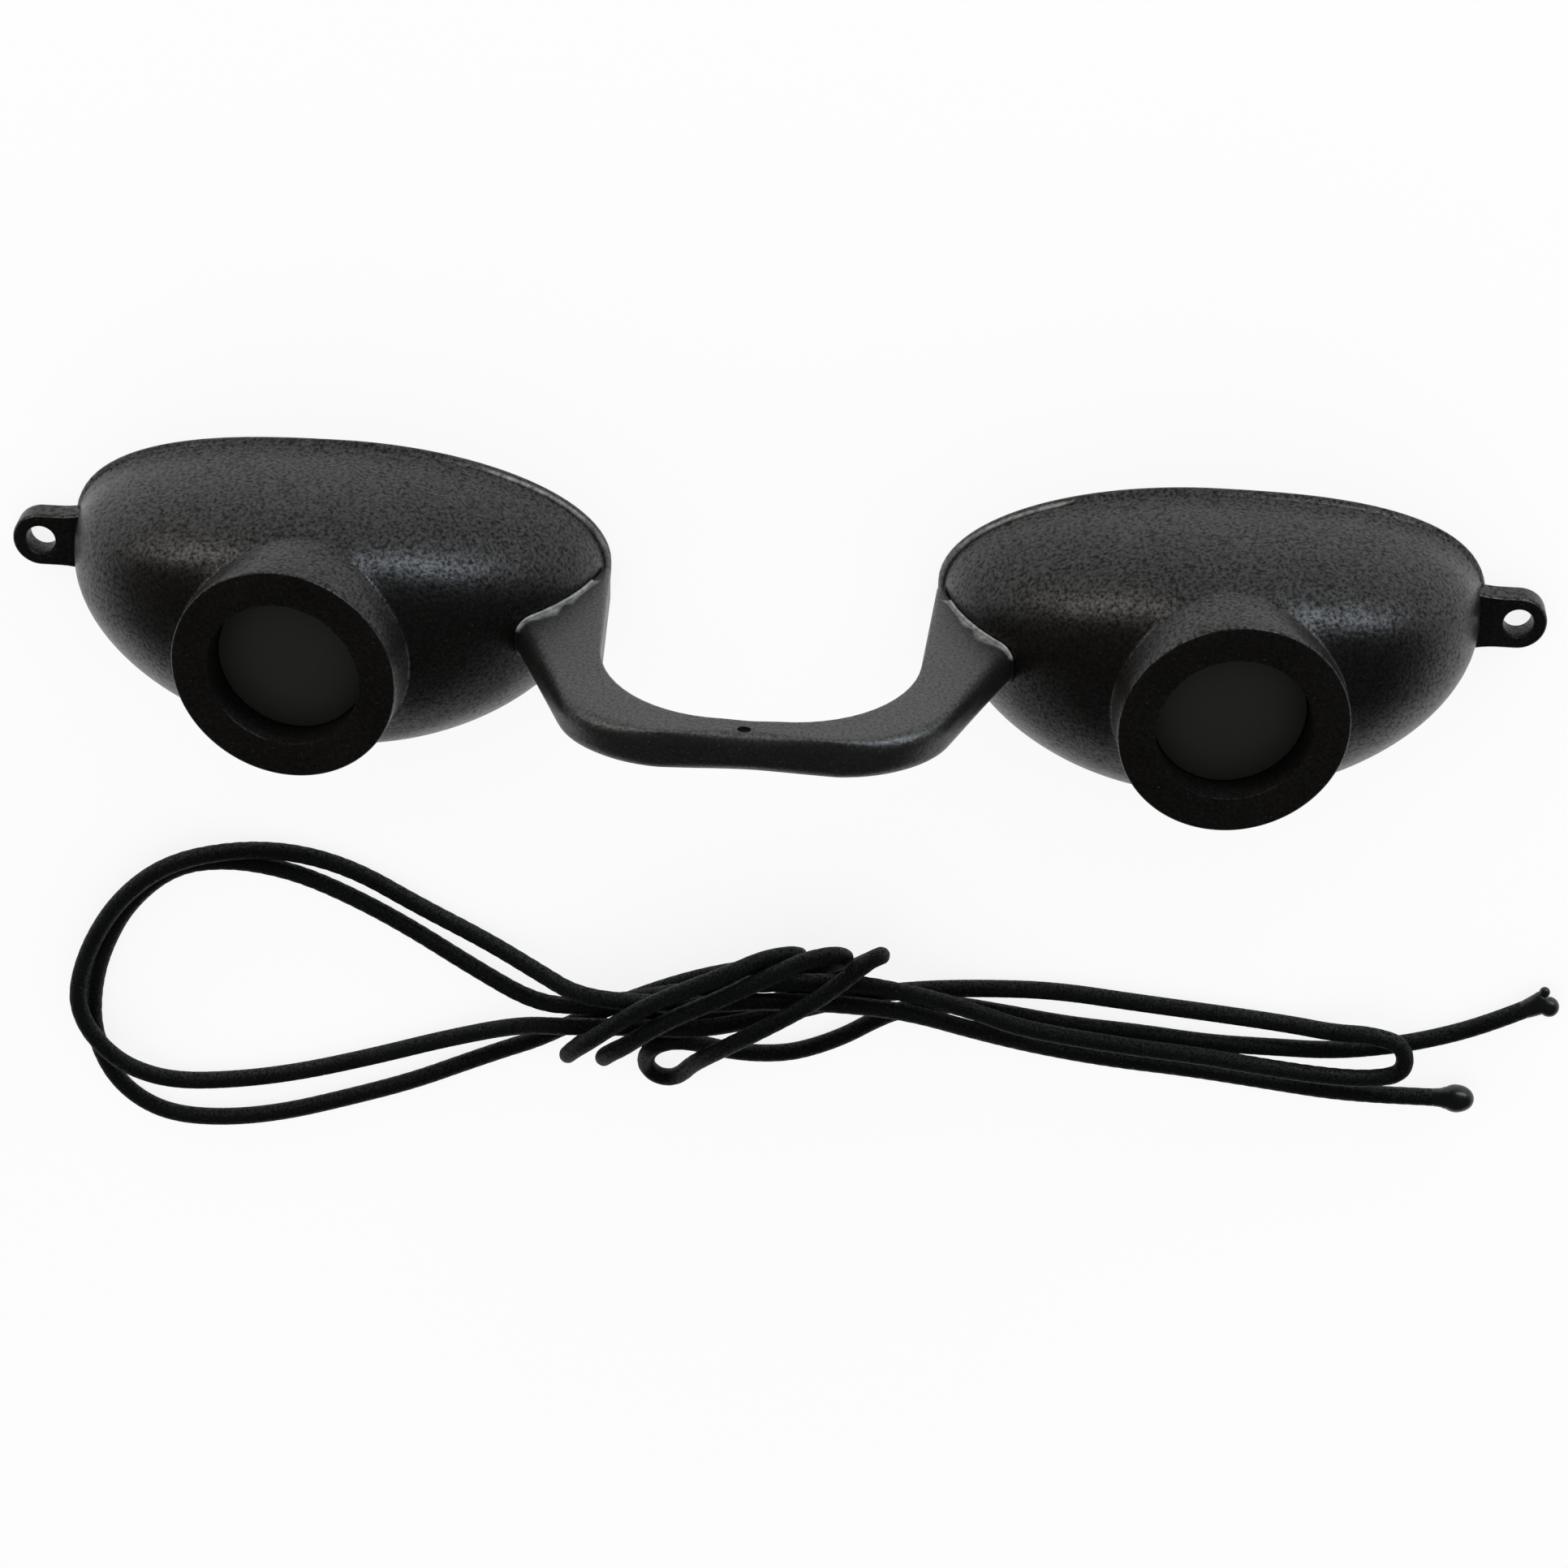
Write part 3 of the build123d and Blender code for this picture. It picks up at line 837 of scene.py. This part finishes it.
# Lens
def make_lens(name, side):
    """A flat filter disc with a softened edge."""
    back = RECESS + LENS_THICKNESS
    rings = [barrel_ring(radius, back) for radius in LENS_FACE_RINGS]
    rings.append(barrel_ring(LENS_RADIUS - LENS_BACK_EDGE, back))
    rings.append(barrel_ring(LENS_RADIUS, back - LENS_BACK_EDGE))
    rings += [barrel_ring(LENS_RADIUS - inset, RECESS + depth) for inset, depth in LENS_FRONT_EDGE]
    rings += [barrel_ring(radius, RECESS) for radius in reversed(LENS_FACE_RINGS)]
    mesh = capped_skin(rings)
    return finished(name, mirrored(mesh) if side < 0 else mesh, LENS_FINISH)


# Cord route, from the bead through the hank to the flare
ROUTE = [
    (54.4, -40.85, 1.16), (51.8, -41.1, 0.86), (48.9, -41.25, 0.71), (45.6, -41.15, 0.71),
    (42.35, -40.8, 0.71),
    # over the last run and into the knot
    (39.1, -40.4, 0.71), (33.9, -39.8, 0.71), (28, -39.4, 0.71), (22.2, -38.6, 0.71),
    (17.2, -36.5, 2.26), (12.1, -34.2, 3.66), (7.3, -33.4, 4.21), (0.8, -33.5, 4.21),
    (-4.8, -34.2, 4.36), (-10.1, -34.5, 4.21), (-14.5, -34.5, 3.66), (-17.8, -33.6, 1.96),
    # outer loop on the left
    (-22, -31.8, 0.71), (-27.42, -28.85, 0.71), (-32.3, -25.88, 0.71), (-37.01, -24.54, 0.71),
    (-41.8, -24.28, 1.3), (-47.04, -25.56, 1.85), (-50.95, -29.01, 1.86), (-53.66, -33.51, 1.8),
    (-55.11, -38.11, 2.01), (-54.61, -40.83, 2.41), (-53.07, -43.44, 2.32), (-51.14, -45.74, 1.57),
    (-47.87, -47.29, 0.76), (-42.81, -46.82, 0.71), (-37.51, -45.65, 0.71), (-31.38, -43.64, 0.71),
    (-25.41, -41.44, 0.71), (-19.4, -39, 1.66), (-15.7, -38.3, 2.56), (-10.1, -37.8, 2.76),
    (-5.1, -37.7, 2.86), (0.7, -36.15, 2.56), (7.4, -33.75, 2.46), (12.3, -33.4, 1.46),
    # through the knot and out to the fold on the right
    (17.4, -33.4, 0.71), (23.1, -33.2, 0.71), (29.5, -33.87, 0.71), (35.98, -34.45, 0.71),
    (41.79, -35.04, 0.71), (45.17, -35.02, 1.56), (48, -34.4, 2.46), (50.7, -35.2, 2.46),
    (51, -37.8, 2.46), (48.5, -38.6, 2.46), (44.9, -38.6, 2.46), (40.1, -38.1, 2.46),
    (34.9, -37.4, 2.46), (29.8, -37, 2.46), (24.6, -36.4, 2.46), (20.1, -35.5, 2.76),
    (16.2, -33.5, 3.56), (11.6, -32.4, 3.56), (7.1, -31.3, 4.21), (1.5, -31.7, 4.21),
    (-4.3, -33.4, 3.06), (-9.6, -35.2, 2.46), (-14.6, -36.4, 2.46), (-18.2, -36.7, 1.66),
    # inner loop on the left
    (-22.8, -34.6, 0.71), (-28.91, -30.43, 0.71), (-34.1, -27.64, 0.71), (-38.03, -26.16, 0.71),
    (-42.52, -25.6, 0.71), (-46.85, -26.53, 0.71), (-50.67, -30.18, 0.71), (-52.97, -34.73, 0.71),
    (-54.03, -38.77, 0.71), (-54.25, -42.83, 0.71), (-53.1, -46.7, 0.71), (-50.97, -49.26, 0.71),
    (-48.01, -50.65, 0.71), (-43.7, -50.68, 0.71), (-38.91, -49.74, 0.71), (-33.53, -47.85, 0.71),
    (-28.28, -45.83, 0.71), (-23.8, -43.6, 0.71), (-20.7, -42.1, 0.71), (-18, -40.9, 0.71),
    # first wrap of the knot
    (-15.2, -39.15, 0.71), (-12.3, -37.5, 0.71), (-9.5, -36, 0.71), (-6.7, -34.7, 0.71),
    (-3.9, -33.65, 0.71), (-1.3, -32.95, 0.71), (1.1, -32.1, 0.86), (2.7, -31.1, 1.76),
    (3.1, -29.7, 3.26), (2.1, -29.1, 4.16), (0.1, -29.3, 4.81), (-2.3, -30.1, 5.86),
    (-5.3, -31.6, 5.96), (-8.5, -33.4, 5.96), (-11.2, -35.5, 5.86), (-13.4, -37.7, 5.36),
    (-14.7, -39.3, 4.36), (-15.4, -40.7, 3.16), (-15.1, -41.15, 1.66),
    # second wrap
    (-14, -40.6, 0.71), (-12.1, -39.45, 0.71), (-9.7, -38.1, 0.71), (-6.9, -36.8, 0.71),
    (-4.1, -35.8, 0.71), (-1.3, -34.7, 0.71), (1.5, -33.4, 0.71), (4.0, -32.2, 0.91),
    (6.0, -30.9, 2.11), (6.8, -28.9, 4.36), (5.7, -27.7, 5.86), (3.5, -28.3, 6.11),
    (1.6, -29.55, 6.06), (-1.1, -31.3, 5.96), (-3.9, -33.0, 5.96), (-6.6, -34.5, 5.96),
    (-9, -36.3, 5.86), (-10.5, -38, 5.26), (-11.8, -39.4, 4.36), (-12.5, -40.75, 3.16),
    (-12.3, -41.3, 1.66),
    # third wrap
    (-11.1, -41.15, 0.71), (-9.2, -39.8, 0.71), (-6.7, -38.6, 0.71), (-4, -37.6, 0.71),
    (-1.2, -36.9, 0.71), (1.5, -35.7, 0.71), (4.1, -34.3, 0.71), (6.3, -32.8, 0.86),
    (7.5, -31.4, 1.66), (8.9, -29.7, 2.96), (9.6, -28.2, 4.66), (8.5, -28.1, 5.81),
    (6.7, -30, 5.96), (4.6, -32, 5.96), (2.2, -33.8, 5.96), (-0.3, -35.6, 5.86),
    (-2.5, -37.6, 5.06), (-4.1, -39.3, 4.06), (-5.4, -41.2, 2.56), (-6.3, -43, 1.36),
    # small round loop under the knot and back to the right
    (-7.24, -43.82, 0.86), (-8.44, -43.74, 0.71), (-9.23, -42.83, 0.71), (-9.18, -41.43, 1.46),
    (-8.6, -39.83, 2.46), (-7.43, -39.16, 2.51), (-6, -39.5, 1.76), (-4.4, -40.4, 0.86),
    (-2.5, -40.9, 0.71), (-0.1, -41, 0.71), (2.4, -40.7, 0.71), (4.7, -39.8, 0.71),
    (6.9, -38.6, 0.71), (8.8, -37.2, 0.71), (10.8, -36.0, 0.71), (14.2, -35.0, 0.71),
    (19, -35.6, 0.71), (24.4, -36.4, 0.71), (29.8, -36.7, 0.71), (35.6, -37.3, 0.71),
    (40.5, -37.3, 0.71),
    # free tail
    (45.4, -37.3, 0.71), (50.3, -36.4, 0.71), (54.6, -35, 0.71), (58.2, -33.2, 0.81),
    (60.8, -31.5, 1.01),
]


def route_line():
    """The cord's smooth line, read from a NURBS curve through its route."""
    curve = bpy.data.curves.new("cord_route", "CURVE")
    curve.dimensions = "3D"
    spline = curve.splines.new("NURBS")
    spline.points.add(len(ROUTE) - 1)
    for point, place in zip(spline.points, ROUTE):
        point.co = (*place, 1.0)
    spline.order_u = 3
    spline.use_endpoint_u = True
    spline.resolution_u = 24
    holder = bpy.data.objects.new("cord_route", curve)
    bpy.context.scene.collection.objects.link(holder)
    shape = holder.evaluated_get(bpy.context.evaluated_depsgraph_get())
    line = bpy.data.meshes.new_from_object(shape)
    points = np.array([vert.co for vert in line.vertices], float)
    bpy.data.objects.remove(holder)
    walked = np.concatenate([[0], np.cumsum(np.linalg.norm(np.diff(points, axis=0), axis=1))])
    count = int(round(walked[-1] / CORD_STEP)) + 1
    steps = np.linspace(0, walked[-1], count)
    even = np.stack([np.interp(steps, walked, points[:, axis]) for axis in range(3)], 1)
    return even, steps


def line_frames(points):
    """A direction and two crossways directions at each point, carried along without twist."""
    ways = np.gradient(points, axis=0)
    ways /= np.linalg.norm(ways, axis=1, keepdims=True)
    side = np.cross(ways[0], (0.0, 0.0, 1.0))
    side /= np.linalg.norm(side)
    sides = []
    for way in ways:
        side = side - way * (side @ way)
        side /= np.linalg.norm(side)
        sides.append(side)
    sides = np.array(sides)
    return ways, sides, np.cross(ways, sides)


def braid_radii(steps, angles):
    """The cord's radius along and round it, which rises on the strands and dips between them."""
    run = steps[:, None] * 2 * math.pi * BRAID_STRANDS / BRAID_PITCH
    left_hand = (run + BRAID_STRANDS * angles[None, :]) / 2
    right_hand = (run - BRAID_STRANDS * angles[None, :]) / 2
    over = 0.5 + 0.5 * np.cos(left_hand) * np.cos(right_hand)
    left_ridge = np.abs(np.sin(left_hand)) ** BRAID_ROUNDNESS
    right_ridge = np.abs(np.sin(right_hand)) ** BRAID_ROUNDNESS
    left_ridge = left_ridge * (1 - BRAID_DIP + BRAID_DIP * over)
    right_ridge = right_ridge * (1 - BRAID_DIP * over)
    relief = np.maximum(left_ridge, right_ridge)
    return CORD_RADIUS - BRAID_RELIEF + BRAID_RELIEF * relief


def make_cord(points, steps, frames):
    """The braided cord, a tube with its own map of the weave."""
    _, sides, ups = frames
    angles = np.arange(CORD_SIDES) * 2 * math.pi / CORD_SIDES
    mesh = bmesh.new()
    weave = mesh.loops.layers.uv.new("weave")
    rows = len(points) - 1
    grid = bmesh.ops.create_grid(
        mesh, x_segments=rows, y_segments=CORD_SIDES, size=1, calc_uvs=True)["verts"]
    turns = angles[None, :, None]
    around = np.cos(turns) * sides[:, None, :] + np.sin(turns) * ups[:, None, :]
    skin_points = points[:, None, :] + around * braid_radii(steps, angles)[:, :, None]
    for vert in grid:
        row = round((vert.co.x + 1) / 2 * rows)
        column = round((vert.co.y + 1) / 2 * CORD_SIDES) % CORD_SIDES
        vert.co = skin_points[row, column]
    for face in mesh.faces:
        for loop in face.loops:
            loop[weave].uv = (loop[weave].uv.y, loop[weave].uv.x * steps[-1] / BRAID_PITCH)
    bmesh.ops.remove_doubles(mesh, verts=mesh.verts, dist=WELD)
    bmesh.ops.holes_fill(mesh, edges=[edge for edge in mesh.edges if edge.is_boundary])
    return finished("cord_braid", mesh, CORD_FINISH, 180)


def melted_end(name, base, way, side, profile, wobble):
    """A melted end: rings round the cord's line, a little uneven."""
    up = way.cross(side)
    rings = []
    for along, radius, spread in profile:
        ring = []
        for i in range(MELTED_SIDES):
            angle = 2 * math.pi * i / MELTED_SIDES
            flat = side * math.cos(angle) * radius * spread + up * math.sin(angle) * radius
            place = base + way * along + flat
            ring.append(place + flat * wobble * noise.noise(place * WOBBLE_SCALE))
        rings.append(ring)
    return finished(name, capped_skin(rings), MELTED, 60)


def make_bead(points, frames):
    """The bead that the first end was melted into."""
    profile = list(BEAD_NECK)
    start, sweep = BEAD_TURN
    for step in range(BEAD_STEPS + 1):
        angle = math.pi * (start + sweep * step / BEAD_STEPS)
        along = BEAD_MIDDLE - BEAD_HALF_LENGTH * math.cos(angle)
        profile.append((along, BEAD_RADIUS * math.sin(angle), 1))
    way, side = Vector(-frames[0][0]), Vector(frames[1][0])
    return melted_end("cord_melted_bead", Vector(points[0]), way, side, profile, BEAD_WOBBLE)


def make_flare(points, frames):
    """The end that was melted and pressed, split into two lobes."""
    way = Vector(frames[0][-1])
    side = Vector((way.y, -way.x, 0)).normalized()
    base = Vector(points[-1])
    flare = melted_end("cord_melted_flare", base, way, side, FLARE_PROFILE, FLARE_WOBBLE)
    for along, beside, radius in FLARE_LOBES:
        lobe = bmesh.new()
        bmesh.ops.create_icosphere(lobe, subdivisions=4, radius=radius)
        bmesh.ops.translate(lobe, vec=base + way * along + side * beside, verts=lobe.verts)
        combined(flare, finished("flare_lobe", lobe, MELTED), "UNION")
    resharpen(flare, 60)
    return flare


# Pieces
right_cup = make_cup("right_eyecup", 1)
left_cup = make_cup("left_eyecup", -1)
right_lens = make_lens("right_filter_lens", 1)
left_lens = make_lens("left_filter_lens", -1)
bridge = make_bridge()
line, steps = route_line()
frames = line_frames(line)
cord = make_cord(line, steps, frames)
bead = make_bead(line, frames)
flare = make_flare(line, frames)

for piece, node, body, finish in (
    (right_cup, "right_cup", "right_eyepiece", "shell_plastic"),
    (left_cup, "left_cup", "left_eyepiece", "shell_plastic"),
    (right_lens, "right_lens", "right_eyepiece", "lens_plastic"),
    (left_lens, "left_lens", "left_eyepiece", "lens_plastic"),
    (bead, "cord_bead_end", "cord", "melted_cord"),
    (flare, "cord_flared_end", "cord", "melted_cord"),
):
    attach(piece, body)
    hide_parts(node)

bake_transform(bridge)
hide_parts("nose_bridge")

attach(cord, "cord")
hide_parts("cord_hank", "cord_beaded_tail", "cord_flared_tail")

# Table: matte, but mostly plain white to the camera and in reflections
table, tree, matte = new_material("pale table")
matte.inputs["Base Color"].default_value = (TABLE_SHADE, TABLE_SHADE, TABLE_SHADE, 1)
matte.inputs["Roughness"].default_value = 0.9
glow = add_node(tree, "ShaderNodeEmission", {"Color": (1, 1, 1, 1), "Strength": 1.0})
ray = add_node(tree, "ShaderNodeLightPath")
seen = add_node(tree, "ShaderNodeMath", operation="MAXIMUM")
tree.links.new(ray.outputs["Is Camera Ray"], seen.inputs[0])
tree.links.new(ray.outputs["Is Glossy Ray"], seen.inputs[1])
part = add_node(tree, "ShaderNodeMath", {1: TABLE_GLOW}, operation="MULTIPLY")
tree.links.new(seen.outputs[0], part.inputs[0])
blend = add_node(tree, "ShaderNodeMixShader")
tree.links.new(part.outputs[0], blend.inputs["Fac"])
tree.links.new(matte.outputs["BSDF"], blend.inputs[1])
tree.links.new(glow.outputs["Emission"], blend.inputs[2])
join(tree, blend, "Shader", tree.nodes["Material Output"], "Surface")
top = bmesh.new()
bmesh.ops.create_grid(top, x_segments=2, y_segments=2, size=TABLE_HALF)
bmesh.ops.translate(top, vec=(0, 0, -TABLE_DROP), verts=top.verts)
floor = finished("table", top, table)

# Studio: white to the camera, an even fill on the goggles, and dimmer overhead in reflections
world = bpy.data.worlds.new("studio")
world.use_nodes = True
bpy.context.scene.world = world
tree = world.node_tree
sky = tree.nodes["Background"]
sky.inputs["Color"].default_value = (1, 1, 1, 1)
facing = add_node(tree, "ShaderNodeTexCoord")
split = add_node(tree, "ShaderNodeSeparateXYZ")
join(tree, facing, "Generated", split, "Vector")
height = add_node(tree, "ShaderNodeMapRange", {
    "From Min": STUDIO_EDGE[0], "From Max": STUDIO_TOP[0],
    "To Min": STUDIO_EDGE[1], "To Max": STUDIO_TOP[1],
}, interpolation_type="SMOOTHSTEP")
join(tree, split, "Z", height, "Value")
ray = add_node(tree, "ShaderNodeLightPath")
reflected = add_node(tree, "ShaderNodeMix", {"A": STUDIO_FILL})
join(tree, ray, "Is Glossy Ray", reflected, "Factor")
join(tree, height, "Result", reflected, "B")
seen = add_node(tree, "ShaderNodeMix", {"B": 1.0})
join(tree, ray, "Is Camera Ray", seen, "Factor")
join(tree, reflected, "Result", seen, "A")
join(tree, seen, "Result", sky, "Strength")

for name, place, power, tint in (
    ("warm softbox", (-0.36, 0.55, 0.11), 1.2, (1.0, 0.94, 0.87)),
    ("cool softbox", (0.30, 0.55, 0.11), 2.2, (0.82, 0.91, 1.0)),
):
    lamp = bpy.data.lights.new(name, "AREA")
    lamp.shape = "RECTANGLE"
    lamp.size, lamp.size_y = LAMP_SIZE
    lamp.energy = power
    lamp.color = tint
    holder = bpy.data.objects.new(name, lamp)
    holder.location = place
    holder.rotation_euler = (Vector(place) - Vector(LAMP_AIM)).to_track_quat("Z", "Y").to_euler()
    bpy.context.scene.collection.objects.link(holder)

# Camera
toward = Vector((
    math.sin(VIEW_YAW),
    math.sin(VIEW_TILT) * math.cos(VIEW_YAW),
    math.cos(VIEW_TILT) * math.cos(VIEW_YAW),
))
toward.normalize()
level_right = Vector((0, 1, 0)).cross(toward).normalized()
level_up = toward.cross(level_right)
right = level_right * math.cos(VIEW_ROLL) + level_up * math.sin(VIEW_ROLL)
up = level_up * math.cos(VIEW_ROLL) - level_right * math.sin(VIEW_ROLL)
view = bpy.data.cameras.new("photo camera")
view.sensor_width = VIEW_SENSOR
view.lens = VIEW_LENS
view.clip_start = VIEW_NEAR
camera = bpy.data.objects.new("photo camera", view)
turned = Matrix((right, up, toward)).transposed().to_4x4()
turned.translation = VIEW_AIM + toward * VIEW_DISTANCE
camera.matrix_world = turned
bpy.context.scene.collection.objects.link(camera)
bpy.context.scene.camera = camera
bpy.context.scene.view_settings.view_transform = "Standard"
